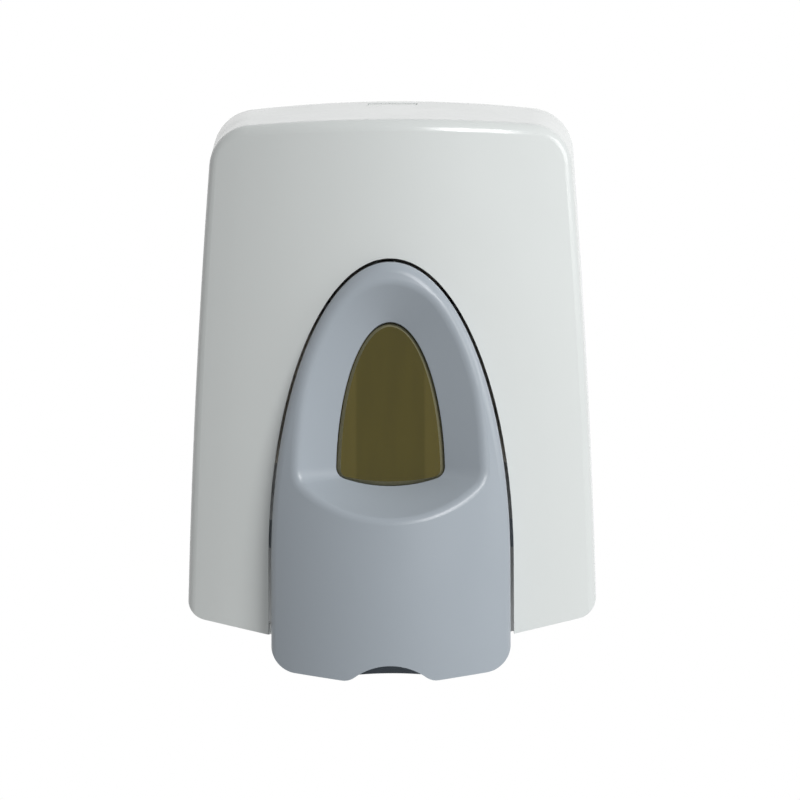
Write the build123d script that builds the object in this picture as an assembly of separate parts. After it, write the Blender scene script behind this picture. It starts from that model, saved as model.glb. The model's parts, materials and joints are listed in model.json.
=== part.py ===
"""A wall mounted soap dispenser with a push lever: separate mouldings round a refill with its own pump.

Frame: X to the right, Y into the wall, Z up, in millimetres. The wall is the plane y = 0 and the origin is
the centre of the four wall screws. A depth is a distance out from the wall, so depth d lies at y = -d.
"""

import math
import os

from build123d import *

# Housing outline, seen from the front
housing_width = 119.6  # across the back edge at the low corners
shoulder_width = 105.2  # across the back edge at the shoulders
housing_top = 79.0  # height of the top edge's crown
shoulder_drop = 3.6  # the shoulders below the crown
low_corner = -72.9  # height of the low corners
keel_drop = 13.5  # the two floor edges meet this far below the low corners, inside the lever's opening
keel_radius = 20.0
side_bow = 1.0  # outward bow of each side
shoulder_radius = 13.0
low_corner_radius = 6.0
side_draft = 0.0175  # each wall leans in by this share of the depth
crown_draft = 0.122
floor_draft = 0.02

# Housing front, a surface of revolution about an upright axis behind the wall
front_depth_low = 83.0  # depth of the centre line at the keel's height
front_depth_top = 66.5  # and at the crown's height
front_bow = 1.6
front_plan_radius = 112.0
front_edge_radius = 4.2  # round the top and down the sides; the lower edge is left crisp

wall = 2.5
cover_wall_gap = 1.0  # cover edge to the wall
nest_gap = 0.8  # cover to the back plate inside it
run_gap = 0.05  # pin or rod to the bore it turns or slides in, on the radius
move_gap = 0.3  # least gap between moving parts
slip_gap = 0.15  # between parts that are put together and stay so
cross_gap = 0.03  # lets a rounded corner cross the wall beside it instead of just touching it

# Lever outline, half an ellipse over straight sides, and its front
lever_half_width = 34.1
lever_apex = 29.8
lever_spring_line = -55.0  # the ellipse's centre
lever_bottom = -89.4
lever_corner_rise = 3.2  # the lower corners above the lobes, before rounding
lever_corner_radius = 8.0
lobe_offset = 11.6  # each lobe of the lower edge from the centre, before rounding
lobe_radius = 5.0
arch_rise = 4.4
lever_gap = 1.0  # lever to the opening in the cover
lever_proud_top = 3.5  # the lever's centre line in front of the cover's, at its apex
lever_proud_low = 16.5  # and at its lower end
lever_sag_top = 8.0  # the lever's front falls back by this much at the sides, at its apex
lever_sag_low = 14.5  # and at its lower end
lever_rim_radius = 4.0
lever_skirt = 15.0  # the side walls' back edge behind the housing's front, at the keel
lever_wall = 2.4
lever_cuts = 7  # level cuts that its front is drawn through

# Scoop in the lever and the sight window at the bottom of it
crest_rim = 4.8  # lever above the scoop's apex
crest_corner = -33.9  # height of the scoop's corners
crest_lip_drop = 11.0  # the lip below the corners
crest_overreach = 5.6  # the scoop's half width, in its plane, past the lever's
crest_clear = 1.0  # the scoop's walls run on past the lever's front by this much
crest_radius = 3.2
crest_corner_radius = 6.0
window_half_width = 15.6
window_apex_drop = 12.2  # below the scoop's apex
window_corner_rise = 2.6  # above the scoop's corners
window_foot_drop = 3.1  # below the window's corners
window_corner_radius = 3.5
window_sink_top = 7.2  # the window's plane behind the lever's front, at its apex
window_sink_low = 14.0  # and at its foot

# Cover hinge, low at the back
hinge_depth = 12.0
hinge_rise = 3.3  # above the low corners
pin_radius = 2.0
hub_radius = 4.2
lug_width = 4.0
lug_inset = 5.5  # the outer lug from the housing's half width
lug_gap = 0.5  # between lugs of the two parts
floor_back = 6.0  # the cover's floor starts this far in front of the hinge

# Lever pivot, a pin across in two bosses of the cover
pivot_height = 17.0
pivot_sink = 9.0  # behind the housing's front
ear_inner = 9.0  # inner face of each of the lever's ears
ear_width = 3.5
boss_width = 6.0
stop_rise = 7.0  # the lever's stops above its spring line, bearing on the cover from behind
stop_reach = 4.0  # past the lever's side
stop_tall = 8.0

# Back plate
plate_thickness = 2.2
plate_rim_depth = 9.0
plate_rim_wall = 2.0
plate_rim_clear = 12.0  # the rim ends this far above the hinge
rib_thickness = 1.6
rib_depth = 5.0
rib_shares = (-0.25, 0.125, 0.5)  # heights as shares of the wall screws' spacing
screw_inset = 10.6  # wall screws from the housing's sides at the shoulders
screw_spacing_z = 80.0
screw_hole_radius = 2.4
screw_head_radius = 4.6
screw_pad_radius = 6.5
screw_pad_depth = 5.0
screw_seat_depth = 3.0

# Latch, a button that rises through the cover's top
latch_half_width = 9.0
latch_neck_half_width = 7.0
latch_depth_back = 8.0
latch_depth_front = 14.0
latch_travel = 3.5
latch_overrun = 0.5  # free height left under the latch when it is pressed
latch_foot_tall = 5.2
latch_lip = 1.8  # guide above the foot
latch_guide_drop = 8.0  # the guide's top below the housing's crown
latch_guide_wall = 2.0
latch_recess = 0.1  # below the cover's top
latch_spring_radius = 2.2
latch_spring_wire = 0.3
latch_spring_turns = 4.0
latch_pocket = 4.0

# Refill, hung by its collar in the cradle
neck_depth = 31.0
shelf_top = -44.0
shelf_thickness = 3.5
shelf_half_width = 25.0
shelf_margin = 1.5  # shelf in front of the collar
shelf_lip = 2.0
shelf_lip_thickness = 1.6
cradle_standoff = 5.0  # flange in front of the back plate, on its pads
cradle_flange = 3.0
cradle_tall = 26.0
gusset_offset = 13.5
gusset_thickness = 2.5
gusset_inset = 6.0  # short of the shelf's front and the flange's foot
cradle_screw_x = 20.0
cradle_screw_drops = (8.0, 20.0)  # below the shelf
small_screw_radius = 1.45
small_head_radius = 3.0
small_head_height = 2.3
small_pad_radius = 3.6
bottle_side_room = 10.2  # bottle to the housing's sides at the shoulders
bottle_back_room = 3.5  # in front of the back plate's ribs
bottle_front_room = 9.5  # behind the top of the housing's front
bottle_head_room = 2.0  # under the latch guide
bottle_edge_radius = 12.0
bottle_end_radius = 8.0
bottle_wall = 1.3
neck_radius = 14.8
neck_wall = 2.0
neck_length = 11.0
collar_radius = 19.0
collar_ribs = 24
collar_rib_radius = 0.8
collar_floor = 2.0
collar_top_gap = 1.0
gasket_thickness = 1.0

# Pump, lying square to the wall under the neck
pump_clear = 1.5  # barrel under the shelf
barrel_radius = 12.0
bore_radius = 9.5
barrel_behind = 2.0  # barrel's end behind the riser
barrel_length = 31.0
barrel_end = 2.5
riser_radius = 10.0
riser_bore = 7.0
flange_thickness = 2.0
seat_rise = 2.0  # valve seat above the bore
seat_thickness = 1.5
port_radius = 6.0
feed_ports = 4
feed_radius = 1.2
feed_ring = 3.6
valve_radius = 5.3
valve_thickness = 0.9
valve_stem_radius = 1.5
valve_bulb_radius = 2.25
gland_flange = 3.5
gland_spigot = 3.5
rod_radius = 4.0
channel_radius = 1.7
piston_rest = 0.5  # piston to the gland when the pump is at rest
piston_length = 4.5
piston_radius = 8.3
seal_width = 2.0
seal_root = 6.8
pump_spring_radius = 6.4
pump_spring_wire = 0.55
pump_spring_turns = 6.0
pump_reach = 12.5  # head in front of the gland: the stroke and a little more
head_length = 12.0
head_radius = 11.0
head_edge_radius = 1.2
head_socket = 4.0
spout_radius = 5.5
spout_tip_radius = 4.4
spout_bore = 2.2
spout_drop = 22.0  # spout's tip below the pump's line

# Push actuator in the lever, bearing on the pump's head
nose_radius = 6.0
nose_half_width = 8.0
nose_sink = 1.0  # the actuator's back behind the nose's centre line
actuator_half_width = 19.0
actuator_high = 8.0  # above the pump's line
actuator_plate = 3.0
actuator_screw_x = 14.0
actuator_screw_hold = 6.0  # screws into the lever's bosses
skirt_half_width = 9.2
skirt_above = 1.5  # the skirt's lower edge above the lever's
skirt_arch_radius = 115.0
actuator_boss_radius = 4.0
lens_recess = 0.5
lens_gap = 0.35  # round the pane's front
lens_bevel = 1.0
lens_flange = 1.2
lens_flange_grow = 1.6
coil_taper = 0.55  # how much closer a spring's turns lie at its ends

# Heights and depths that follow from the sizes above
keel = low_corner - keel_drop
hinge_height = low_corner + hinge_rise
lever_corner = lever_bottom + lever_corner_rise
lever_skirt_depth = front_depth_low - lever_skirt
crest_apex = lever_apex - crest_rim
crest_lip = crest_corner - crest_lip_drop
crest_half_width = lever_half_width + crest_overreach
window_apex = crest_apex - window_apex_drop
window_corner = crest_corner + window_corner_rise
window_foot = window_corner - window_foot_drop
stop_height = lever_spring_line + stop_rise
plate_rim_low = hinge_height + plate_rim_clear
screw_spacing_x = shoulder_width - 2 * screw_inset
latch_guide_high = housing_top - latch_guide_drop
latch_foot_high = latch_guide_high - latch_lip
latch_foot_low = latch_foot_high - latch_foot_tall
latch_floor = latch_foot_low - latch_travel - latch_overrun
cradle_back = plate_thickness + cradle_standoff
shelf_front = neck_depth + collar_radius + shelf_margin
cradle_screw_rows = [shelf_top - drop for drop in cradle_screw_drops]
flange_low = shelf_top + collar_floor
gasket_low = flange_low + flange_thickness
neck_low = gasket_low + gasket_thickness
bottle_low = neck_low + neck_length
bottle_high = latch_floor - latch_guide_wall - bottle_head_room
bottle_half_width = shoulder_width / 2 - bottle_side_room
bottle_back = rib_depth + bottle_back_room
bottle_front = front_depth_top - bottle_front_room
pump_height = shelf_top - shelf_thickness - pump_clear - barrel_radius
seat_height = pump_height + bore_radius + seat_rise
barrel_back = neck_depth - riser_radius - barrel_behind
barrel_front = barrel_back + barrel_length
piston_back = barrel_front - gland_spigot - piston_rest - piston_length
seal_back = piston_back + (piston_length - seal_width) / 2
head_back = barrel_front + gland_flange + pump_reach
head_front = head_back + head_length
spout_depth = (head_back + head_front) / 2
spout_low = pump_height - spout_drop
nose_depth = head_front + move_gap + nose_radius
actuator_back = nose_depth - nose_sink
actuator_front = actuator_back + actuator_plate


def front_plane(depth):
    """The upright plane at a depth, facing out from the wall."""
    return Plane.XZ.offset(depth)


def front_block(half, low, high, back, front):
    """A block centred across, between two heights and two depths."""
    return Pos(0, -(back + front) / 2, (low + high) / 2) * Box(2 * half, front - back, high - low)


def across(radius, depth, height, left, right):
    """A round bar along X between two places."""
    return Pos((left + right) / 2, -depth, height) * Rot(0, 90, 0) * Cylinder(radius, right - left)


def outward(radius, x, height, back, front):
    """A round bar square to the wall between two depths."""
    return Pos(x, -(back + front) / 2, height) * Rot(90, 0, 0) * Cylinder(radius, front - back)


def upright(radius, x, depth, low, high):
    """An upright round bar between two heights."""
    return Pos(x, -depth, (low + high) / 2) * Cylinder(radius, high - low)


def mirrored(shape):
    """A shape and its mirror image on the other side."""
    return shape + mirror(shape, about=Plane.YZ)


def half_ellipse(spring_line, half, rise):
    """The upper half of an ellipse, from its right end to its left."""
    return EllipticalCenterArc((0, spring_line), half, rise, arc_size=180)


# Housing


def outline_sizes(depth, inset):
    """Half widths at the low corners and shoulders, and the heights of both and of the crown."""
    half_low = housing_width / 2 - side_draft * depth - inset
    half_top = shoulder_width / 2 - side_draft * depth - inset
    crown = housing_top - crown_draft * depth - inset
    low = low_corner + floor_draft * depth + inset
    return half_low, half_top, low, crown - shoulder_drop, crown


def housing_sides(depth, inset):
    """The bowed right side from its lower end, the crown and the left side down to its lower end."""
    half_low, half_top, low, shoulder, crown = outline_sizes(depth, inset)
    bow_x = (half_low + half_top) / 2 + side_bow
    bow_z = (low + shoulder) / 2
    return [
        ThreePointArc((half_low, low), (bow_x, bow_z), (half_top, shoulder)),
        ThreePointArc((half_top, shoulder), (0, crown), (-half_top, shoulder)),
        ThreePointArc((-half_top, shoulder), (-bow_x, bow_z), (-half_low, low)),
    ]


def housing_outline(depth, inset):
    """The housing seen from the front, at a depth and an inset from its outside."""
    sides = housing_sides(depth, inset)
    right, left = sides[0] @ 0, sides[2] @ 1
    floor = Polyline(left, (0, left.Y - keel_drop), right)
    outline = make_face([*sides, *floor.edges()])
    outline = fillet(outline.vertices().group_by(Axis.Y)[-1], shoulder_radius - inset)
    outline = fillet(outline.vertices().group_by(Axis.Y)[1], low_corner_radius - inset)
    outline = fillet(outline.vertices().group_by(Axis.Y)[0], keel_radius)
    return front_plane(depth) * outline


def tall_outline(depth):
    """The housing's outline with its sides run straight on past the floor."""
    sides = housing_sides(depth, 0)
    right, left = sides[0] @ 0, sides[2] @ 1
    down = 2 * keel_drop
    floor = Polyline(left, left + (sides[2] % 1) * down, right - (sides[0] % 0) * down, right)
    outline = make_face([*sides, *floor.edges()])
    outline = fillet(outline.vertices().group_by(Axis.Y)[-1], shoulder_radius)
    return front_plane(depth) * outline


def under_outline(depth):
    """What lies below the housing's floor and round its low corners."""
    side = housing_sides(depth, 0)[0]
    corner = side @ 0 + Vector(cross_gap, 0)
    high = corner + (side % 0) * (2 * low_corner_radius)
    wide = high.X + keel_drop
    deep = corner.Y - 3 * keel_drop
    right = [(corner.X, corner.Y), (high.X, high.Y), (wide, high.Y), (wide, deep)]
    left = [(-x, z) for x, z in reversed(right)]
    rim = Polyline((0, corner.Y - keel_drop), *right, *left, close=True)
    outline = make_face(rim.edges())
    outline = fillet(outline.vertices().group_by(Axis.Y)[2], low_corner_radius)
    outline = fillet(outline.vertices().group_by(Axis.Y)[1], keel_radius)
    return front_plane(depth) * outline


def front_depth(height):
    """Depth of the housing front's centre line, on the arc through its three places."""
    share = (height - keel) / (housing_top - keel)
    chord = front_depth_low + (front_depth_top - front_depth_low) * share
    return chord + front_bow * 4 * share * (1 - share)


front_axis = front_plan_radius - front_depth((housing_top + low_corner) / 2)


def front_form(inset):
    """The solid of revolution that gives the housing its front."""
    middle = (keel + housing_top) / 2
    arc = ThreePointArc(
        (front_axis + front_depth(keel) - inset, keel),
        (front_axis + front_depth(middle) - inset, middle),
        (front_axis + front_depth(housing_top) - inset, housing_top),
    )
    sides = Polyline(arc @ 1, (0, housing_top), (0, keel), arc @ 0)
    profile = Plane.XZ * make_face([arc, *sides.edges()])
    return Pos(0, front_axis, 0) * revolve(profile, Axis.Z)


def housing_form(inset, back):
    """The housing as a solid, from a depth at its back to its front."""
    reach = front_depth_low + front_edge_radius
    sides = loft([housing_outline(back, inset), housing_outline(reach, inset)], ruled=True)
    return sides & front_form(inset)


def lever_passage(grow, back):
    """The lever's outline run straight out from a depth and open below, for the opening and the hollow."""
    half = lever_half_width + grow
    floor = lever_bottom - keel_drop
    arc = half_ellipse(lever_spring_line, half, lever_apex - lever_spring_line + grow)
    sides = Polyline(arc @ 1, (-half, floor), (half, floor), arc @ 0)
    outline = front_plane(back) * make_face([arc, *sides.edges()])
    return extrude(outline, front_depth_low + lever_proud_low)


def opening_half_width(height):
    """Half the width of the lever's opening at a height."""
    rise = lever_apex - lever_spring_line + lever_gap
    share = max(height - lever_spring_line, 0) / rise
    return (lever_half_width + lever_gap) * math.sqrt(1 - share**2)


def front_depth_at(x, height, inset):
    """Depth of the housing's front away from its centre line."""
    radius = front_axis + front_depth(height) - inset
    return math.sqrt(radius**2 - x**2) - front_axis


cover_lug_outer = housing_width / 2 - lug_inset
plate_lug_outer = cover_lug_outer - lug_width - lug_gap
pivot_depth = front_depth(pivot_height) - pivot_sink
boss_inner = opening_half_width(pivot_height - hub_radius) + lug_gap
boss_outer = boss_inner + boss_width


def cover_lug():
    """The cover's right hinge lug, reaching back from the floor."""
    inner = cover_lug_outer - lug_width
    web_front = hinge_depth + floor_back + 3 * hub_radius
    web = Pos((inner + cover_lug_outer) / 2, -(hinge_depth + web_front) / 2, hinge_height) * Box(
        lug_width, web_front - hinge_depth, 2 * hub_radius - wall
    )
    return across(hub_radius, hinge_depth, hinge_height, inner, cover_lug_outer) + web


def pivot_boss():
    """The boss on the cover's right that holds an end of the lever's pin."""
    front = front_depth(pivot_height)
    web = Pos((boss_inner + boss_outer) / 2, -(pivot_depth + front) / 2, pivot_height) * Box(
        boss_width, front - pivot_depth, 2 * hub_radius
    )
    boss = across(hub_radius, pivot_depth, pivot_height, boss_inner, boss_outer) + web
    return boss & housing_form(wall / 2, 0)


def cover_outside():
    """The cover's outside: its front edge rounded at the top and sides and crisp along the floor."""
    reach = front_depth_low + front_edge_radius
    outside = loft([tall_outline(cover_wall_gap), tall_outline(reach)], ruled=True) & front_form(0)
    front = outside.faces().sort_by(Axis.Y)[0]
    outside = outside.fillet(front_edge_radius, front.edges().sort_by(Axis.Z)[1:])
    return outside - loft([under_outline(0), under_outline(reach)], ruled=True)


def front_cover():
    """Moulded cover: one wall all round, open to the back, with the lever's opening and the latch's slot."""
    cover = cover_outside() - housing_form(wall, 0) - lever_passage(lever_gap, 0)
    inside = housing_width / 2 - wall - slip_gap
    cover -= front_block(inside, lever_bottom, hinge_height + hub_radius, 0, hinge_depth + floor_back)
    slot_half = latch_neck_half_width + move_gap
    cover -= front_block(
        slot_half, latch_guide_high, housing_top, latch_depth_back - move_gap, latch_depth_front + move_gap
    )
    cover += mirrored(cover_lug() & housing_form(wall / 2, 0))
    cover += mirrored(pivot_boss())
    lug_inner = cover_lug_outer - lug_width
    cover -= mirrored(across(pin_radius + run_gap, hinge_depth, hinge_height, lug_inner, cover_lug_outer))
    return cover - across(pin_radius, pivot_depth, pivot_height, -boss_outer, boss_outer)


def cover_hinge_pins():
    """Two pins fixed in the back plate's lugs, for the cover's lugs to turn on."""
    return mirrored(
        across(pin_radius, hinge_depth, hinge_height, plate_lug_outer - lug_width, cover_lug_outer)
    )


def lever_pivot_pin():
    """The lever's pin, fixed in the cover's bosses."""
    return across(pin_radius, pivot_depth, pivot_height, -boss_outer, boss_outer)


# Lever


def lever_share(height):
    """How far down the lever a height is, eased so that its front flattens out towards its lower end."""
    share = (lever_apex - height) / (lever_apex - lever_bottom)
    return math.sin(math.pi / 2 * min(max(share, 0), 1))


def lever_depth(height):
    """Depth of the lever front's centre line."""
    return front_depth(height) + lever_proud_top + (lever_proud_low - lever_proud_top) * lever_share(height)


def lever_level(height, inset):
    """The lever cut level at a height: an arc in front, straight at the back."""
    half = lever_half_width + lever_gap
    centre = lever_depth(height) - inset
    edge = centre - lever_sag_top - (lever_sag_low - lever_sag_top) * lever_share(height)
    back = lever_skirt_depth - lever_sag_low
    arc = ThreePointArc((-half, -edge), (0, -centre), (half, -edge))
    sides = Polyline(arc @ 1, (half, -back), (-half, -back), arc @ 0)
    return Plane.XY.offset(height) * make_face([arc, *sides.edges()])


def lever_front(inset):
    """The lever's front as a solid, through level cuts from above its apex to below its lower edge."""
    top = lever_apex + lever_corner_radius
    low = lever_bottom - lever_corner_radius
    heights = [top + (low - top) * step / (lever_cuts - 1) for step in range(lever_cuts)]
    return loft([lever_level(height, inset) for height in heights])


def below_lever():
    """What lies below the lever's lower edge and round its corners: two lobes with a low arch between."""
    edge = lever_half_width + cross_gap
    wide = edge + lever_corner_radius
    high = lever_corner + 2 * lever_corner_radius
    deep = lever_bottom - keel_drop
    arch = ThreePointArc(
        (lobe_offset, lever_bottom), (0, lever_bottom + arch_rise), (-lobe_offset, lever_bottom)
    )
    left = [(-edge, lever_corner), (-edge, high), (-wide, high), (-wide, deep)]
    right = [(-x, z) for x, z in reversed(left)]
    rim = Polyline(arch @ 1, *left, *right, arch @ 0)
    outline = make_face([arch, *rim.edges()])
    outline = fillet(outline.vertices().group_by(Axis.Y)[2], lever_corner_radius)
    outline = fillet(outline.vertices().group_by(Axis.Y)[1], lobe_radius)
    return extrude(front_plane(0) * outline, front_depth_low + 2 * lever_proud_low)


def ogive(half, rise, sag, corner_radius):
    """Half an ellipse on a spring line, closed below by a shallow arc, with rounded corners."""
    arc = half_ellipse(0, half, rise)
    foot = ThreePointArc(arc @ 1, (0, -sag), arc @ 0)
    outline = make_face([arc, foot])
    return fillet(outline.vertices(), corner_radius)


def leaning_plane(depth, height, lean):
    """A plane facing out and a little up."""
    return Plane(origin=(0, -depth, height), x_dir=(1, 0, 0), z_dir=(0, -math.cos(lean), math.sin(lean)))


def window_plane(sink):
    """The sight window's plane, further behind the lever's front by a sink."""
    top = lever_depth(window_apex) - window_sink_top
    low = lever_depth(window_foot) - window_sink_low
    lean = math.atan2(low - top, window_apex - window_foot)
    depth = low - (window_corner - window_foot) * math.tan(lean)
    return leaning_plane(depth, window_corner, lean).offset(-sink)


def window_outline(grow):
    """The sight window's outline."""
    rise = window_apex - window_corner
    return ogive(window_half_width + grow, rise + grow, window_foot_drop + grow, window_corner_radius + grow)


def crest_plane(sink):
    """The plane through the scoop's apex and lip."""
    top, low = lever_depth(crest_apex), lever_depth(crest_lip)
    lean = math.atan2(low - top, crest_apex - crest_lip)
    depth = low - (crest_corner - crest_lip) * math.tan(lean)
    return leaning_plane(depth, crest_corner, lean).offset(crest_clear - sink)


def scoop(grow):
    """What the scoop takes out, or with a grow the form its walls stand on."""
    top, low = lever_depth(crest_apex), lever_depth(crest_lip)
    lean = math.atan2(low - top, crest_apex - crest_lip)
    rise = (crest_apex - crest_corner) / math.cos(lean)
    sag = (crest_corner - crest_lip) / math.cos(lean)
    crest_outline = ogive(crest_half_width + grow, rise + grow, sag + grow, crest_corner_radius + grow)
    crest = crest_plane(grow) * crest_outline
    window = window_plane(grow) * window_outline(grow)
    return loft([window, crest], ruled=True) + extrude(crest, lever_proud_low)


def lever_ear():
    """The lever's right ear, which turns on the pin."""
    outer = ear_inner + ear_width
    front = front_depth(pivot_height) + lever_proud_top
    web = Pos((ear_inner + outer) / 2, -(pivot_depth + front) / 2, pivot_height) * Box(
        ear_width, front - pivot_depth, 2 * hub_radius
    )
    return across(hub_radius, pivot_depth, pivot_height, ear_inner, outer) + web


def lever_stop():
    """The stop on the lever's right side, behind the cover's front."""
    inner, outer = lever_half_width - lever_wall, lever_half_width + stop_reach
    front = front_depth_at(outer, stop_height + stop_tall / 2, wall) - move_gap
    back = lever_skirt_depth - lever_wall
    return Pos((inner + outer) / 2, -(back + front) / 2, stop_height) * Box(
        outer - inner, front - back, stop_tall
    )


def push_lever():
    """The lever: a hollow moulding with a rounded rim, a scoop whose walls run down to the sight window."""
    reach = front_depth_low + lever_proud_low
    solid = lever_passage(0, lever_skirt_depth) & lever_front(0)
    front = solid.faces().sort_by(Axis.Y)[0]
    solid = solid.fillet(lever_rim_radius, front.edges().sort_by(Axis.Z)[1:])
    solid -= below_lever() + scoop(0)
    face = [face for face in solid.faces() if face.inner_wires()][0]
    solid = solid.fillet(crest_radius, face.inner_wires()[0].edges())
    cavity = (lever_passage(-lever_wall, lever_skirt_depth) & lever_front(lever_wall)) - scoop(lever_wall)
    lever = solid - cavity
    lever += mirrored(lever_ear() - scoop(lever_wall / 2))
    lever += mirrored(lever_stop())
    boss = outward(actuator_boss_radius, actuator_screw_x, pump_height, actuator_front, reach)
    lever += mirrored(boss & solid)
    lever -= extrude(window_plane(-lever_wall) * window_outline(0), -3 * lever_wall)
    lever -= across(pin_radius + run_gap, pivot_depth, pivot_height, -boss_inner, boss_inner)
    depth = actuator_front + actuator_screw_hold
    return lever - mirrored(outward(small_screw_radius, actuator_screw_x, pump_height, actuator_front, depth))


def sight_window():
    """Tinted pane with a bevelled edge, let in from behind on its flange."""
    shoulder = window_plane(lens_recess + lens_bevel) * window_outline(-lens_gap)
    face = window_plane(lens_recess) * window_outline(-lens_gap - lens_bevel)
    pane = loft([shoulder, face], ruled=True)
    pane += extrude(shoulder, lens_recess + lens_bevel - lever_wall)
    return pane + extrude(window_plane(lever_wall) * window_outline(lens_flange_grow), -lens_flange)


def push_actuator():
    """The pusher screwed into the lever: a nose for the pump's head and a skirt that hides the spout."""
    high = pump_height + actuator_high
    low = pump_height - actuator_high
    plate = front_block(actuator_half_width, low, high, actuator_back, actuator_front)
    skirt_low = lever_bottom + skirt_above
    plate += front_block(skirt_half_width, skirt_low, low, actuator_back, actuator_front)
    sag = skirt_arch_radius - math.sqrt(skirt_arch_radius**2 - skirt_half_width**2)
    arch_centre = skirt_low + sag - skirt_arch_radius
    plate -= outward(skirt_arch_radius, 0, arch_centre, 0, 2 * actuator_front)
    nose = across(nose_radius, nose_depth, pump_height, -nose_half_width, nose_half_width)
    plate += nose & front_block(nose_half_width, low, high, 0, actuator_front)
    hole = small_screw_radius + slip_gap
    return plate - mirrored(outward(hole, actuator_screw_x, pump_height, 0, 2 * actuator_front))


def small_screw(x, height, seat, length, toward):
    """A pan head screw, its head on a seat; toward is 1 for a head facing out from the wall, else -1."""
    head_end = seat + toward * small_head_height
    tip = seat - toward * length
    head = outward(small_head_radius, x, height, min(seat, head_end), max(seat, head_end))
    face = head.faces().sort_by(Axis.Y)[0 if toward > 0 else -1]
    head = head.fillet(small_head_height / 2, face.edges())
    return head + outward(small_screw_radius, x, height, min(seat, tip), max(seat, tip))


def actuator_screws():
    """Two screws from behind into the lever's bosses."""
    length = actuator_plate + actuator_screw_hold - slip_gap
    return mirrored(small_screw(actuator_screw_x, pump_height, actuator_back, length, -1))


# Back plate and latch


def plate_lug():
    """The plate's right hinge lug."""
    inner = plate_lug_outer - lug_width
    web = Pos((inner + plate_lug_outer) / 2, -hinge_depth / 2, hinge_height) * Box(
        lug_width, hinge_depth, 2 * hub_radius
    )
    return across(hub_radius, hinge_depth, hinge_height, inner, plate_lug_outer) + web


def latch_guide():
    """The upright channel the latch runs in: a back, two sides with lips, and a floor."""
    half = latch_half_width + move_gap + latch_guide_wall
    low = latch_floor - latch_guide_wall
    front = latch_depth_front + move_gap
    guide = front_block(half, low, latch_guide_high, 0, front)
    back = latch_depth_back - move_gap
    foot_half = latch_half_width + move_gap
    neck_half = latch_neck_half_width + move_gap
    guide -= front_block(foot_half, latch_floor, latch_foot_high + move_gap, back, front)
    return guide - front_block(neck_half, latch_floor, latch_guide_high, back, front)


def back_plate():
    """The plate that is screwed to the wall, with a rim, ribs, hinge lugs, latch guide and screw pads."""
    inset = wall + nest_gap
    toward_wall = (0, 1, 0)
    block = extrude(housing_outline(plate_rim_depth, inset), plate_rim_depth, toward_wall)
    inner = housing_outline(plate_rim_depth, inset + plate_rim_wall)
    plate = block - extrude(inner, plate_rim_depth - plate_thickness, toward_wall)
    half = housing_width / 2
    low = hinge_height - hub_radius
    plate -= front_block(half, lever_bottom, plate_rim_low, plate_thickness, plate_rim_depth)
    plate -= front_block(half, low - keel_drop, low, 0, plate_rim_depth)
    apron = extrude(housing_outline(plate_thickness, 0), plate_thickness, toward_wall)
    plate += apron & front_block(opening_half_width(low) + wall, keel, low, 0, plate_thickness)
    rib_half = screw_spacing_x / 2 + screw_pad_radius
    for share in rib_shares:
        height = share * screw_spacing_z
        plate += front_block(
            rib_half, height - rib_thickness / 2, height + rib_thickness / 2, 0, rib_depth
        )
    guide_half = latch_half_width + move_gap + latch_guide_wall
    plate -= front_block(guide_half, latch_guide_high, housing_top, plate_thickness, plate_rim_depth)
    plate += latch_guide()
    plate += mirrored(plate_lug())
    screw_x, screw_z = screw_spacing_x / 2, screw_spacing_z / 2
    for height in (-screw_z, screw_z):
        plate += mirrored(outward(screw_pad_radius, screw_x, height, 0, screw_pad_depth))
        plate -= mirrored(outward(screw_hole_radius, screw_x, height, 0, screw_pad_depth))
        plate -= mirrored(outward(screw_head_radius, screw_x, height, screw_seat_depth, screw_pad_depth))
    for height in cradle_screw_rows:
        plate += mirrored(outward(small_pad_radius, cradle_screw_x, height, 0, cradle_back))
        plate -= mirrored(outward(small_screw_radius, cradle_screw_x, height, plate_thickness, cradle_back))
    return plate - across(pin_radius, hinge_depth, hinge_height, -half, half)


def latch_button():
    """The latch: a foot held in the guide and a neck that fills the slot in the cover's top."""
    foot = front_block(latch_half_width, latch_foot_low, latch_foot_high, latch_depth_back, latch_depth_front)
    neck = front_block(
        latch_neck_half_width, latch_foot_high, housing_top, latch_depth_back, latch_depth_front
    )
    button = foot + (neck & housing_form(latch_recess, 0))
    middle = (latch_depth_back + latch_depth_front) / 2
    pocket = latch_spring_radius + latch_spring_wire + move_gap
    return button - upright(pocket, 0, middle, latch_foot_low, latch_foot_low + latch_pocket)


def latch_retainer():
    """The plate that closes the latch's guide in front."""
    half = latch_half_width + move_gap + latch_guide_wall
    back = latch_depth_front + move_gap
    plate = front_block(half, latch_floor - latch_guide_wall, latch_guide_high, back, back + latch_guide_wall)
    return plate.fillet(latch_guide_wall / 2, plate.faces().sort_by(Axis.Y)[0].edges())


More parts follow.
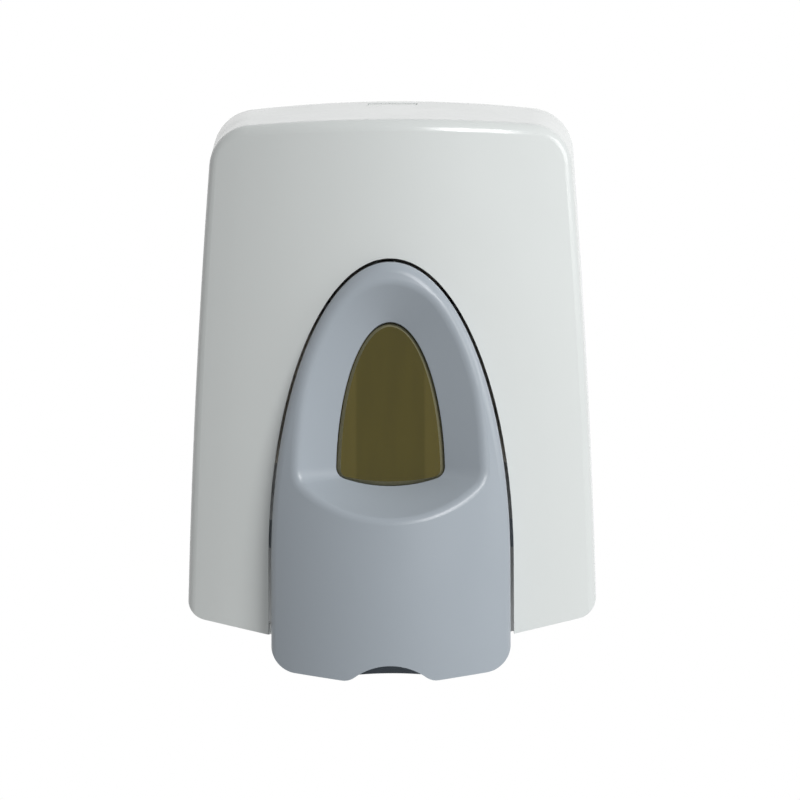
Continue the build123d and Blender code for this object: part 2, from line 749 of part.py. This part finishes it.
def coil(mean_radius, wire_radius, turns, length):
    """A compression spring standing on z = 0, swept along pairs of arcs, a pair to each quarter turn."""
    rise = length - 2 * wire_radius

    def place(share):
        angle = 2 * math.pi * turns * share
        height = wire_radius + rise * (share - coil_taper * math.sin(2 * math.pi * share) / (2 * math.pi))
        return Vector(mean_radius * math.cos(angle), mean_radius * math.sin(angle), height)

    def heading(share):
        angle = 2 * math.pi * turns * share
        climb = rise * (1 - coil_taper * math.cos(2 * math.pi * share))
        sweep_rate = 2 * math.pi * turns * mean_radius
        return Vector(-sweep_rate * math.sin(angle), sweep_rate * math.cos(angle), climb).normalized()

    steps = round(4 * turns)
    arcs = []
    for step in range(steps):
        start, end = place(step / steps), place((step + 1) / steps)
        first, last = heading(step / steps), heading((step + 1) / steps)
        chord, both, bend = end - start, first + last, 2 * (1 - first.dot(last))
        reach = (math.sqrt(chord.dot(both) ** 2 + bend * chord.dot(chord)) - chord.dot(both)) / bend
        middle = (start + first * reach + end - last * reach) * 0.5
        arcs.append(Edge.make_tangent_arc(start, first, middle))
        arcs.append(Edge.make_tangent_arc(middle, arcs[-1] % 1, end))
    path = Wire(arcs)
    samples = 48 * steps
    points = [place(index / samples) for index in range(samples + 1)]
    apart = round(samples / turns / 2)
    nearest = min(
        (points[i] - points[j]).length
        for i in range(0, samples, 4)
        for j in range(i + apart, samples + 1, 2)
    )
    print("coil of", turns, "turns, least gap between turns", round(nearest - 2 * wire_radius, 2), "mm")
    return sweep(Plane(origin=path @ 0, z_dir=path % 0) * Circle(wire_radius), path=path)


def latch_spring():
    """The spring under the latch."""
    middle = (latch_depth_back + latch_depth_front) / 2
    length = latch_foot_low + latch_pocket - latch_floor
    spring = coil(latch_spring_radius, latch_spring_wire, latch_spring_turns, length)
    return Pos(0, -middle, latch_floor) * spring


# Refill and cradle


def refill_cradle():
    """The bracket the refill hangs in: a slotted shelf, a flange for its screws and two gussets."""
    shelf_low = shelf_top - shelf_thickness
    cradle = front_block(shelf_half_width, shelf_low, shelf_top, cradle_back, shelf_front)
    lip_back = shelf_front - shelf_lip_thickness
    cradle += front_block(shelf_half_width, shelf_top, shelf_top + shelf_lip, lip_back, shelf_front)
    flange_front = cradle_back + cradle_flange
    cradle += front_block(shelf_half_width, shelf_top - cradle_tall, shelf_top, cradle_back, flange_front)
    slot = riser_radius + move_gap
    cradle -= upright(slot, 0, neck_depth, shelf_low, shelf_top)
    cradle -= front_block(slot, shelf_low, shelf_top + shelf_lip, neck_depth, shelf_front)
    side = Plane.YZ.offset(gusset_offset)
    corner = make_face(
        Polyline(
            (-flange_front, shelf_low),
            (gusset_inset - shelf_front, shelf_low),
            (-flange_front, shelf_low - cradle_tall + gusset_inset),
            close=True,
        ).edges()
    )
    cradle += mirrored(extrude(side * corner, gusset_thickness))
    hole = small_screw_radius + slip_gap
    for height in cradle_screw_rows:
        cradle -= mirrored(outward(hole, cradle_screw_x, height, 0, flange_front))
    return cradle


def cradle_screws():
    """Four screws through the cradle's flange into the back plate."""
    seat = cradle_back + cradle_flange
    length = seat - plate_thickness - slip_gap
    screws = [mirrored(small_screw(cradle_screw_x, z, seat, length, 1)) for z in cradle_screw_rows]
    return screws[0] + screws[1]


def bottle_form(inset):
    """The bottle's body as a solid."""
    back, front = bottle_back + inset, bottle_front - inset
    low, high = bottle_low + inset, bottle_high - inset
    body = front_block(bottle_half_width - inset, low, high, back, front)
    body = body.fillet(bottle_edge_radius - inset, body.edges().filter_by(Axis.Z))
    ends = body.faces().sort_by(Axis.Z)
    return body.fillet(bottle_end_radius - inset, ends[0].edges() + ends[-1].edges())


def refill_bottle():
    """The refill's bottle, neck down."""
    neck_high = bottle_low + bottle_end_radius
    bottle = bottle_form(0) + upright(neck_radius, 0, neck_depth, neck_low, neck_high)
    bottle -= bottle_form(bottle_wall)
    return bottle - upright(neck_radius - neck_wall, 0, neck_depth, neck_low, neck_high)


def bottle_collar():
    """The screw collar that holds the pump to the neck and rests on the cradle's shelf."""
    high = bottle_low - collar_top_gap
    collar = upright(collar_radius, 0, neck_depth, shelf_top, high)
    collar -= upright(neck_radius + slip_gap, 0, neck_depth, flange_low, high)
    collar -= upright(riser_radius + slip_gap, 0, neck_depth, shelf_top, flange_low)
    for index in range(collar_ribs):
        angle = 2 * math.pi * index / collar_ribs
        x, depth = collar_radius * math.cos(angle), neck_depth + collar_radius * math.sin(angle)
        collar += upright(collar_rib_radius, x, depth, flange_low, high - collar_floor)
    return collar


def neck_gasket():
    """The ring between the neck and the pump's flange."""
    ring = upright(neck_radius - slip_gap, 0, neck_depth, gasket_low, neck_low)
    return ring - upright(riser_radius, 0, neck_depth, gasket_low, neck_low)


# Pump


def pump_body():
    """Barrel, riser and flange in one, with a valve seat between them."""
    body = outward(barrel_radius, 0, pump_height, barrel_back, barrel_front)
    body += upright(riser_radius, 0, neck_depth, pump_height, gasket_low)
    body += upright(neck_radius - slip_gap, 0, neck_depth, flange_low, gasket_low)
    body -= outward(bore_radius, 0, pump_height, barrel_back + barrel_end, barrel_front)
    body -= upright(riser_bore, 0, neck_depth, seat_height + seat_thickness, gasket_low)
    body -= upright(port_radius, 0, neck_depth, pump_height, seat_height)
    body -= upright(valve_stem_radius, 0, neck_depth, seat_height, seat_height + seat_thickness)
    for index in range(feed_ports):
        angle = 2 * math.pi * (index + 0.5) / feed_ports
        x, depth = feed_ring * math.cos(angle), neck_depth + feed_ring * math.sin(angle)
        body -= upright(feed_radius, x, depth, seat_height, seat_height + seat_thickness)
    return body


def inlet_valve():
    """A soft umbrella valve under the seat, held by a bulb above it."""
    high = seat_height + seat_thickness
    valve = upright(valve_radius, 0, neck_depth, seat_height - valve_thickness, seat_height)
    valve += upright(valve_stem_radius, 0, neck_depth, seat_height, high)
    bulb = Pos(0, -neck_depth, high) * Sphere(valve_bulb_radius)
    return valve + (bulb & upright(riser_bore, 0, neck_depth, high, high + riser_bore))


def pump_gland():
    """The barrel's front end, which guides the piston's rod."""
    gland = outward(barrel_radius, 0, pump_height, barrel_front, barrel_front + gland_flange)
    gland += outward(bore_radius, 0, pump_height, barrel_front - gland_spigot, barrel_front)
    return gland - outward(rod_radius + run_gap, 0, pump_height, 0, 2 * barrel_front)


def pump_piston():
    """Piston and hollow rod in one."""
    piston_front = piston_back + piston_length
    piston = outward(piston_radius, 0, pump_height, piston_back, piston_front)
    groove = outward(piston_radius, 0, pump_height, seal_back, seal_back + seal_width)
    piston -= groove - outward(seal_root, 0, pump_height, seal_back, seal_back + seal_width)
    piston += outward(rod_radius, 0, pump_height, piston_front, head_back + head_socket)
    return piston - outward(channel_radius, 0, pump_height, piston_back, head_back + head_socket)


def piston_seal():
    """The ring in the piston's groove."""
    ring = outward(bore_radius - run_gap, 0, pump_height, seal_back, seal_back + seal_width)
    ring = ring.fillet(seal_width / 4, ring.edges().filter_by(GeomType.CIRCLE))
    return ring - outward(seal_root, 0, pump_height, seal_back, seal_back + seal_width)


def pump_spring():
    """The return spring between the barrel's end and the piston."""
    back = barrel_back + barrel_end
    spring = coil(pump_spring_radius, pump_spring_wire, pump_spring_turns, piston_back - back)
    return Pos(0, -back, pump_height) * Rot(90, 0, 0) * spring


def dispensing_head():
    """The pump's head on the end of the rod, with a spout that points down."""
    head = outward(head_radius, 0, pump_height, head_back, head_front)
    head = head.fillet(head_edge_radius, head.faces().sort_by(Axis.Y)[0].edges())
    middle = (pump_height + spout_low) / 2
    head += Pos(0, -spout_depth, middle) * Cone(spout_tip_radius, spout_radius, spout_drop)
    socket_end = head_back + head_socket
    head -= outward(rod_radius, 0, pump_height, head_back, socket_end)
    head -= outward(channel_radius, 0, pump_height, socket_end, spout_depth)
    return head - upright(spout_bore, 0, spout_depth, spout_low, pump_height)


def main():
    os.makedirs("parts", exist_ok=True)
    for make in (
        back_plate,
        latch_button,
        latch_retainer,
        latch_spring,
        front_cover,
        cover_hinge_pins,
        lever_pivot_pin,
        push_lever,
        sight_window,
        push_actuator,
        actuator_screws,
        refill_cradle,
        cradle_screws,
        refill_bottle,
        bottle_collar,
        neck_gasket,
        pump_body,
        inlet_valve,
        pump_gland,
        pump_piston,
        piston_seal,
        pump_spring,
        dispensing_head,
    ):
        export_step(make(), f"parts/{make.__name__}.step")


if __name__ == "__main__":
    main()
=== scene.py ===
"""Looks of the wall mounted soap dispenser: materials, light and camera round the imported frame."""

import json
import math

import bpy
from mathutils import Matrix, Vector


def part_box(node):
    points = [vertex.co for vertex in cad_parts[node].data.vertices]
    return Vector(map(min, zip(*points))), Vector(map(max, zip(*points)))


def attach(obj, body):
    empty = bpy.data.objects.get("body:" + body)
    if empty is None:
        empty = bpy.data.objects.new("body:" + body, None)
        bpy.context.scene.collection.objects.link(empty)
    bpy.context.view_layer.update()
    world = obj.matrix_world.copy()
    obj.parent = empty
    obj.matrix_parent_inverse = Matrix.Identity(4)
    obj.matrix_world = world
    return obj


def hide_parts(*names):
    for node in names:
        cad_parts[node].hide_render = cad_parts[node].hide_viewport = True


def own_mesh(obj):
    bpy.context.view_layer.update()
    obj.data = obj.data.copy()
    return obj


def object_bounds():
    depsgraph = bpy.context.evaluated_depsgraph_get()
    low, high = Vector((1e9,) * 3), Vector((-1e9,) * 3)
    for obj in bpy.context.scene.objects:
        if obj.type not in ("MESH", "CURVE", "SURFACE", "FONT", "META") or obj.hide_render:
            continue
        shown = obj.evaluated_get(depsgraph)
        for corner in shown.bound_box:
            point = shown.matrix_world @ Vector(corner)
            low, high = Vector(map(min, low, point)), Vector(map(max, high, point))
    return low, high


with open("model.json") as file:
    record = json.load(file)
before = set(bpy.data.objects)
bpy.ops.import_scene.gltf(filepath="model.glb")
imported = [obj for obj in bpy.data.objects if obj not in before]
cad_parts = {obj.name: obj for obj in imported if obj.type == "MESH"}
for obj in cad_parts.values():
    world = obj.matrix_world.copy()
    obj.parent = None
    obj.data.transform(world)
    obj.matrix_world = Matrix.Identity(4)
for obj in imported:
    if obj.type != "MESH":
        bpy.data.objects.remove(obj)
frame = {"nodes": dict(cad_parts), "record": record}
nodes = frame["nodes"]
cad_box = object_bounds()

scene = bpy.context.scene
scene.view_settings.view_transform = "Standard"

# Lengths are in metres and angles in degrees, unless a line says otherwise

# Camera, as in the photograph: far off and almost square on
CAMERA_TARGET = Vector((0.0017, 0.0, -0.0098))
CAMERA_DISTANCE = 2.045
CAMERA_AZIMUTH = 0.8
CAMERA_ELEVATION = 0.0
CAMERA_ROLL = -0.25
SENSOR = 36.0  # mm
VIEW_WIDTH = 0.2376  # width of the frame at the target

# Floor and light
FLOOR_DROP = 0.35  # below the object
FLOOR_HALF = 1.5
FLOOR_CLOUD = 0.6
FLOOR_DULL = (0.9, 0.9, 0.9)
FLOOR_BRIGHT = (0.94, 0.94, 0.94)
FLOOR_ROUGHNESS = 0.9
FLOOR_GLOW = 0.35  # lifts the floor that the camera sees towards the white behind it
WORLD_STRENGTH = 0.2
LAMP_DISTANCE = 2.2

# Moulded plastic, the sizes of its marks
CLOUD_SIZE = 0.045  # uneven colour
FLOW_SIZE = 0.012
FLOW_STRETCH = (1, 1, 6)
RUB_SIZE = 0.014  # patches rubbed smoother
RUB_SPREAD = 0.03  # and how far their roughness strays
PEEL_SIZE = 0.007  # orange peel, twice as high as the grain

# Sight window
PANE_CORE = 0.0098  # half width of its darker middle; the paler sides beyond it are painted reflection
PANE_BLUR = 0.0005  # how soft the edge of that is
PANE_STREAK = 0.006
PANE_STRETCH = (1, 1, 8)
PANE_WAVE = 0.008
PANE_WAVE_HEIGHT = 0.00001
BEVEL_FACING = 0.8  # the bevel, with its painted glint, faces this far along the pane's own normal, or less
PANE_FACING = 0.95  # and the pane itself this far, or more
BEVEL_SPECKLE = 0.0007
BEVEL_ROUGHER = 0.2

# Refill bottle
BOTTLE_FILL = 0.72  # how full it is
BOTTLE_CLOUD = 0.02
BOTTLE_PATCH = 0.01
BOTTLE_SPREAD = 0.06  # how far the patches' roughness strays
SOAP_BLUR = 0.0006  # how soft the soap's level is
BOTTLE_WAVE = 0.009
BOTTLE_WAVE_HEIGHT = 0.00004
BOTTLE_GRAIN = 0.0012
BOTTLE_GRAIN_HEIGHT = 0.000004

# Steel, with its drawing or turning marks
MARK_SIZE = 0.0004
MARK_STRETCH = (12, 1, 1)
MARK_SPREAD = 0.08
MARK_HEIGHT = 0.000005

# Springs
TURN_STEPS = 40
WIRE_SIDES = 12
END_CLOSENESS = 0.55  # how much closer a spring's turns lie at its ends


def direction(azimuth, elevation):
    """Unit vector from the object, azimuth 0 in front and growing to the right."""
    turn, lift = math.radians(azimuth), math.radians(elevation)
    return Vector((math.sin(turn) * math.cos(lift), -math.cos(turn) * math.cos(lift), math.sin(lift)))


def aim(obj, target):
    """Turns a camera or lamp to look at a point."""
    obj.rotation_euler = (target - obj.location).to_track_quat("-Z", "Y").to_euler()


def scaled(colour, factor):
    """A colour made lighter or darker."""
    return tuple(channel * factor for channel in colour)


# Materials


class Graph:
    """A material's node tree with a Principled shader, and short calls for the textures that feed it."""

    def __init__(self, name):
        self.material = bpy.data.materials.new(name)
        self.material.use_nodes = True
        self.tree = self.material.node_tree
        self.shader = self.tree.nodes["Principled BSDF"]
        self.coords = self.tree.nodes.new("ShaderNodeTexCoord")

    def set(self, **values):
        """Sets the shader's own sockets, with _ for a space in a socket's name."""
        for name, value in values.items():
            self.shader.inputs[name.replace("_", " ")].default_value = value

    def link(self, source, target):
        """Links one socket to another."""
        self.tree.links.new(source, target)

    def feed(self, name, source):
        """Links a socket to the shader's input of a name."""
        self.link(source, self.shader.inputs[name])

    def noise(self, size, detail, stretch=(1, 1, 1)):
        """Noise whose blotches are about size across, stretched along the axes."""
        mapping = self.tree.nodes.new("ShaderNodeMapping")
        mapping.inputs["Scale"].default_value = [1 / (size * share) for share in stretch]
        self.link(self.coords.outputs["Object"], mapping.inputs["Vector"])
        texture = self.tree.nodes.new("ShaderNodeTexNoise")
        texture.inputs["Scale"].default_value = 1.0
        texture.inputs["Detail"].default_value = detail
        self.link(mapping.outputs["Vector"], texture.inputs["Vector"])
        return texture.outputs["Fac"]

    def ramp(self, value, low, high, start=0.25, end=0.75):
        """A value read from start to end onto low to high, eased at both ends."""
        node = self.tree.nodes.new("ShaderNodeMapRange")
        node.interpolation_type = "SMOOTHSTEP"
        node.inputs["From Min"].default_value = start
        node.inputs["From Max"].default_value = end
        node.inputs["To Min"].default_value = low
        node.inputs["To Max"].default_value = high
        self.link(value, node.inputs["Value"])
        return node.outputs["Result"]

    def spread(self, value, middle, reach):
        """A value read onto a reach either side of a middle."""
        return self.ramp(value, middle - reach, middle + reach)

    def step(self, value, place, blur):
        """0 below a place and 1 above it, blurred either side."""
        return self.ramp(value, 0, 1, place - blur, place + blur)

    def place(self, axis):
        """The place along an axis of the frame."""
        parts = self.tree.nodes.new("ShaderNodeSeparateXYZ")
        self.link(self.coords.outputs["Object"], parts.inputs["Vector"])
        return parts.outputs[axis]

    def size(self, value):
        """A value without its sign."""
        node = self.tree.nodes.new("ShaderNodeMath")
        node.operation = "ABSOLUTE"
        self.link(value, node.inputs[0])
        return node.outputs["Value"]

    def facing(self, way):
        """How far the surface faces a way in its own frame, 1 where it faces it squarely."""
        node = self.tree.nodes.new("ShaderNodeVectorMath")
        node.operation = "DOT_PRODUCT"
        node.inputs[1].default_value = way
        self.link(self.coords.outputs["Normal"], node.inputs[0])
        return node.outputs["Value"]

    def mix(self, value, first, second):
        """Two colours mixed by a value; each is a colour or another node's output."""
        node = self.tree.nodes.new("ShaderNodeMix")
        node.data_type = "RGBA"
        self.link(value, node.inputs["Factor"])
        for colour, socket in ((first, node.inputs["A"]), (second, node.inputs["B"])):
            if isinstance(colour, bpy.types.NodeSocket):
                self.link(colour, socket)
            else:
                socket.default_value = (*colour, 1)
        return node.outputs["Result"]

    def shades(self, value, colour, dark, light):
        """A colour between two strengths of itself."""
        return self.mix(value, scaled(colour, dark), scaled(colour, light))

    def bump(self, value, height):
        """Relief of a height, on top of the shader's relief so far."""
        node = self.tree.nodes.new("ShaderNodeBump")
        node.inputs["Strength"].default_value = 1.0
        node.inputs["Distance"].default_value = height
        self.link(value, node.inputs["Height"])
        normal = self.shader.inputs["Normal"]
        if normal.is_linked:
            self.link(normal.links[0].from_socket, node.inputs["Normal"])
        self.link(node.outputs["Normal"], normal)


def moulded(name, colour, roughness, gloss, grain, relief, mottle):
    """Moulded plastic: mottling, flow lines, orange peel, a fine grain and patches rubbed smoother."""
    graph = Graph(name)
    graph.set(Specular_IOR_Level=gloss)
    cloud = graph.ramp(graph.noise(CLOUD_SIZE, 3), 0, 1)
    flow = graph.ramp(graph.noise(FLOW_SIZE, 3, FLOW_STRETCH), 0, 1)
    dark = graph.shades(flow, colour, 1 - mottle, 1 - mottle / 2)
    light = graph.shades(flow, colour, 1 + mottle / 2, 1 + mottle)
    graph.feed("Base Color", graph.mix(cloud, dark, light))
    graph.feed("Roughness", graph.spread(graph.noise(RUB_SIZE, 5), roughness, RUB_SPREAD))
    graph.bump(graph.noise(PEEL_SIZE, 1), 2 * relief)
    graph.bump(graph.noise(grain, 2), relief)
    return graph.material


def tinted_pane(name, normal, core, flank_reflection, bevel_glint, roughness):
    """Clear tinted plastic, darker in its middle and paler towards its sides as painted reflection, with a
    pale painted glint on its bevel.
    """
    graph = Graph(name)
    graph.set(Transmission_Weight=0.25, IOR=1.49, Specular_IOR_Level=0.2)
    side = graph.step(graph.size(graph.place("X")), PANE_CORE, PANE_BLUR)
    streak = graph.ramp(graph.noise(PANE_STREAK, 3, PANE_STRETCH), 0, 1)
    deep = graph.shades(streak, core, 0.93, 1.05)
    # Paler sides: painted reflection, a lighter tint standing in for light caught in the pane's sides
    painted_reflection = graph.shades(streak, flank_reflection, 0.9, 1.1)
    # The bevel's pale colour is a painted glint, standing in for the light line its edge catches; its extra
    # roughness is real
    bevel_mask = graph.ramp(graph.facing(normal), 1, 0, BEVEL_FACING, PANE_FACING)
    painted_glint = graph.shades(graph.noise(BEVEL_SPECKLE, 3), bevel_glint, 0.7, 1.3)
    graph.feed("Base Color", graph.mix(bevel_mask, graph.mix(side, deep, painted_reflection), painted_glint))
    graph.feed("Roughness", graph.ramp(bevel_mask, roughness, roughness + BEVEL_ROUGHER, 0, 1))
    graph.bump(graph.noise(PANE_WAVE, 1), PANE_WAVE_HEIGHT)
    return graph.material


def natural_bottle(name, empty, full, level, roughness):
    """Natural blow-moulded plastic, cloudy, with the soap showing through below its level."""
    graph = Graph(name)
    graph.set(Transmission_Weight=0.3, IOR=1.5, Specular_IOR_Level=0.4)
    cloud = graph.ramp(graph.noise(BOTTLE_CLOUD, 3), 0, 1)
    above = graph.shades(cloud, empty, 0.95, 1.03)
    below = graph.shades(cloud, full, 0.96, 1.03)
    dry = graph.step(graph.place("Z"), level, SOAP_BLUR)
    graph.feed("Base Color", graph.mix(dry, below, above))
    graph.feed("Roughness", graph.spread(graph.noise(BOTTLE_PATCH, 4), roughness, BOTTLE_SPREAD))
    graph.bump(graph.noise(BOTTLE_WAVE, 2), BOTTLE_WAVE_HEIGHT)
    graph.bump(graph.noise(BOTTLE_GRAIN, 2), BOTTLE_GRAIN_HEIGHT)
    return graph.material


def steel(name, colour, roughness):
    """Drawn or turned steel, with marks along one way."""
    graph = Graph(name)
    graph.set(Metallic=1.0)
    marks = graph.noise(MARK_SIZE, 3, MARK_STRETCH)
    graph.feed("Base Color", graph.shades(marks, colour, 0.85, 1))
    graph.feed("Roughness", graph.spread(marks, roughness, MARK_SPREAD))
    graph.bump(marks, MARK_HEIGHT)
    return graph.material


bottle_low, bottle_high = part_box("refill_bottle")
soap_level = bottle_low[2] + BOTTLE_FILL * (bottle_high[2] - bottle_low[2])
pane_faces = nodes["sight_window"].data.polygons
pane_normal = max((face for face in pane_faces if face.normal.y < 0), key=lambda face: face.area).normal

# Each slot's colour, roughness, gloss, size and height of the grain, and mottling
PLASTICS = {
    "cover": ("cover_white", (0.725, 0.757, 0.748), 0.2, 0.5, 0.001, 0.0000012, 0.01),
    "lever": ("lever_grey", (0.372, 0.417, 0.462), 0.32, 0.45, 0.0009, 0.0000015, 0.01),
    "actuator": ("actuator_dark", (0.075, 0.095, 0.115), 0.45, 0.4, 0.0006, 0.000006, 0.05),
    "chassis": ("chassis_grey", (0.6, 0.62, 0.63), 0.5, 0.4, 0.0008, 0.000012, 0.02),
    "latch": ("latch_white", (0.725, 0.757, 0.748), 0.3, 0.5, 0.001, 0.000002, 0.008),
    "collar": ("collar_white", (0.78, 0.79, 0.79), 0.33, 0.45, 0.0006, 0.000004, 0.015),
    "pump": ("pump_white", (0.74, 0.75, 0.75), 0.36, 0.45, 0.0006, 0.000004, 0.015),
    "head": ("head_grey", (0.28, 0.31, 0.34), 0.36, 0.45, 0.0006, 0.000004, 0.02),
    "seal": ("seal_rubber", (0.03, 0.03, 0.032), 0.6, 0.35, 0.0007, 0.00001, 0.1),
    "valve": ("valve_silicone", (0.6, 0.6, 0.57), 0.45, 0.4, 0.001, 0.000006, 0.03),
}

finishes = {slot: moulded(*values) for slot, values in PLASTICS.items()}
finishes["window"] = tinted_pane(
    "window_olive",
    pane_normal,
    core=(0.107, 0.087, 0.009),
    # the flank colour is the paler tint of the sides, a painted reflection
    flank_reflection=(0.14, 0.113, 0.018),
    # the bevel colour is a pale painted glint
    bevel_glint=(0.3, 0.28, 0.17),
    roughness=0.12,
)
finishes["bottle"] = natural_bottle(
    "bottle_natural", empty=(0.82, 0.83, 0.8), full=(0.76, 0.7, 0.62), level=soap_level, roughness=0.36
)
finishes["pin"] = steel("steel_black", (0.06, 0.06, 0.065), roughness=0.4)
finishes["steel"] = steel("steel_bright", (0.62, 0.62, 0.63), roughness=0.3)

for subpart in frame["record"]["subparts"]:
    materials = nodes[subpart["node"]].data.materials
    materials.clear()
    materials.append(finishes[subpart["material_slot"]])

# Springs


def coil_points(foot, along, radius, wire, turns, length):
    """Rings of points round a compression spring's wire, from its foot along a unit vector."""
    across = along.orthogonal().normalized()
    beyond = along.cross(across)
    climb = length - 2 * wire
    steps = int(turns * TURN_STEPS)
    points = []
    for step in range(steps + 1):
        share = step / steps
        angle = math.tau * turns * share
        out = across * math.cos(angle) + beyond * math.sin(angle)
        round_way = beyond * math.cos(angle) - across * math.sin(angle)
        eased = share - END_CLOSENESS * math.sin(math.tau * share) / math.tau
        pitch = climb * (1 - END_CLOSENESS * math.cos(math.tau * share))
        tangent = (round_way * (math.tau * turns * radius) + along * pitch).normalized()
        middle = foot + along * (wire + climb * eased) + out * radius
        up = tangent.cross(out)
        for side in range(WIRE_SIDES):
            turn = math.tau * side / WIRE_SIDES
            points.append(middle + (out * math.cos(turn) + up * math.sin(turn)) * wire)
    return points


def coil_mesh(name, points):
    """A closed tube of wire through rings of points."""
    steps = len(points) // WIRE_SIDES - 1
    faces = []
    for step in range(steps):
        for side in range(WIRE_SIDES):
            first, second = step * WIRE_SIDES + side, step * WIRE_SIDES + (side + 1) % WIRE_SIDES
            faces.append((first, second, second + WIRE_SIDES, first + WIRE_SIDES))
    faces.append(tuple(reversed(range(WIRE_SIDES))))
    faces.append(tuple(range(steps * WIRE_SIDES, (steps + 1) * WIRE_SIDES)))
    mesh = bpy.data.meshes.new(name)
    mesh.from_pydata(points, [], faces)
    mesh.polygons.foreach_set("use_smooth", [True] * len(mesh.polygons))
    mesh.materials.append(finishes["steel"])
    return mesh


def spring(name, node, axis, foot_high, wire, turns):
    """A spring in place of its node, between the node's ends, which its joint presses towards its foot."""
    low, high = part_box(node)
    length = high[axis] - low[axis]
    foot = (Vector(low) + Vector(high)) / 2
    foot[axis] = high[axis] if foot_high else low[axis]
    along = Vector((0, 0, 0))
    along[axis] = -1 if foot_high else 1
    radius = (high[0] - low[0]) / 2 - wire
    piece = bpy.data.objects.new(name, coil_mesh(name, coil_points(foot, along, radius, wire, turns, length)))
    scene.collection.objects.link(piece)
    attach(piece, "chassis")
    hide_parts(node)
    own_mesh(piece)


spring("pump_spring_coil", "pump_spring", axis=1, foot_high=True, wire=0.00055, turns=6)
spring("latch_spring_coil", "latch_spring", axis=2, foot_high=False, wire=0.0003, turns=4)

# Stage


def plain_floor():
    """A pale floor well below the object, which takes its shadow."""
    height = cad_box[0][2] - FLOOR_DROP
    corners = [(x * FLOOR_HALF, y * FLOOR_HALF, height) for x, y in ((-1, -1), (1, -1), (1, 1), (-1, 1))]
    mesh = bpy.data.meshes.new("floor")
    mesh.from_pydata(corners, [], [(0, 1, 2, 3)])
    floor = bpy.data.objects.new("floor", mesh)
    scene.collection.objects.link(floor)
    graph = Graph("floor_pale")
    graph.set(Roughness=FLOOR_ROUGHNESS, Emission_Color=(1, 1, 1, 1))
    cloud = graph.ramp(graph.noise(FLOOR_CLOUD, 2), 0, 1)
    graph.feed("Base Color", graph.mix(cloud, FLOOR_DULL, FLOOR_BRIGHT))
    seen = graph.tree.nodes.new("ShaderNodeLightPath").outputs["Is Camera Ray"]
    graph.feed("Emission Strength", graph.ramp(seen, 0, FLOOR_GLOW, 0, 1))
    mesh.materials.append(graph.material)


def studio_world():
    """Soft white light all round, with a white background for what the camera, gloss and glass see."""
    world = bpy.data.worlds.new("studio")
    world.use_nodes = True
    tree = world.node_tree
    soft = tree.nodes["Background"]
    soft.inputs["Color"].default_value = (1, 1, 1, 1)
    soft.inputs["Strength"].default_value = WORLD_STRENGTH
    white = tree.nodes.new("ShaderNodeBackground")
    white.inputs["Color"].default_value = (1, 1, 1, 1)
    path = tree.nodes.new("ShaderNodeLightPath")
    seen = path.outputs["Is Camera Ray"]
    for ray in ("Is Glossy Ray", "Is Transmission Ray"):
        either = tree.nodes.new("ShaderNodeMath")
        either.operation = "MAXIMUM"
        tree.links.new(seen, either.inputs[0])
        tree.links.new(path.outputs[ray], either.inputs[1])
        seen = either.outputs["Value"]
    mix = tree.nodes.new("ShaderNodeMixShader")
    tree.links.new(seen, mix.inputs["Fac"])
    tree.links.new(soft.outputs["Background"], mix.inputs[1])
    tree.links.new(white.outputs["Background"], mix.inputs[2])
    tree.links.new(mix.outputs["Shader"], tree.nodes["World Output"].inputs["Surface"])
    scene.world = world


def softbox(name, azimuth, elevation, size, level):
    """A white oblong lamp; level is what it adds to a white surface that faces it."""
    lamp = bpy.data.lights.new(name, "AREA")
    lamp.shape = "RECTANGLE"
    lamp.size, lamp.size_y = size
    lamp.energy = level * math.pi**2 * LAMP_DISTANCE**2
    obj = bpy.data.objects.new(name, lamp)
    obj.location = direction(azimuth, elevation) * LAMP_DISTANCE
    aim(obj, Vector((0, 0, 0)))
    scene.collection.objects.link(obj)


def photo_camera():
    """The camera at the photograph's viewing angle, turned slightly about its line of sight."""
    camera = bpy.data.objects.new("camera", bpy.data.cameras.new("camera"))
    camera.location = CAMERA_TARGET + direction(CAMERA_AZIMUTH, CAMERA_ELEVATION) * CAMERA_DISTANCE
    aim(camera, CAMERA_TARGET)
    camera.rotation_euler.rotate_axis("Z", math.radians(CAMERA_ROLL))
    camera.data.sensor_width = SENSOR
    camera.data.lens = SENSOR * CAMERA_DISTANCE / VIEW_WIDTH
    scene.collection.objects.link(camera)
    scene.camera = camera


plain_floor()
studio_world()
softbox("key", azimuth=30, elevation=36, size=(0.86, 0.62), level=0.55)
softbox("side", azimuth=80, elevation=24, size=(1.0, 0.8), level=0.28)
photo_camera()
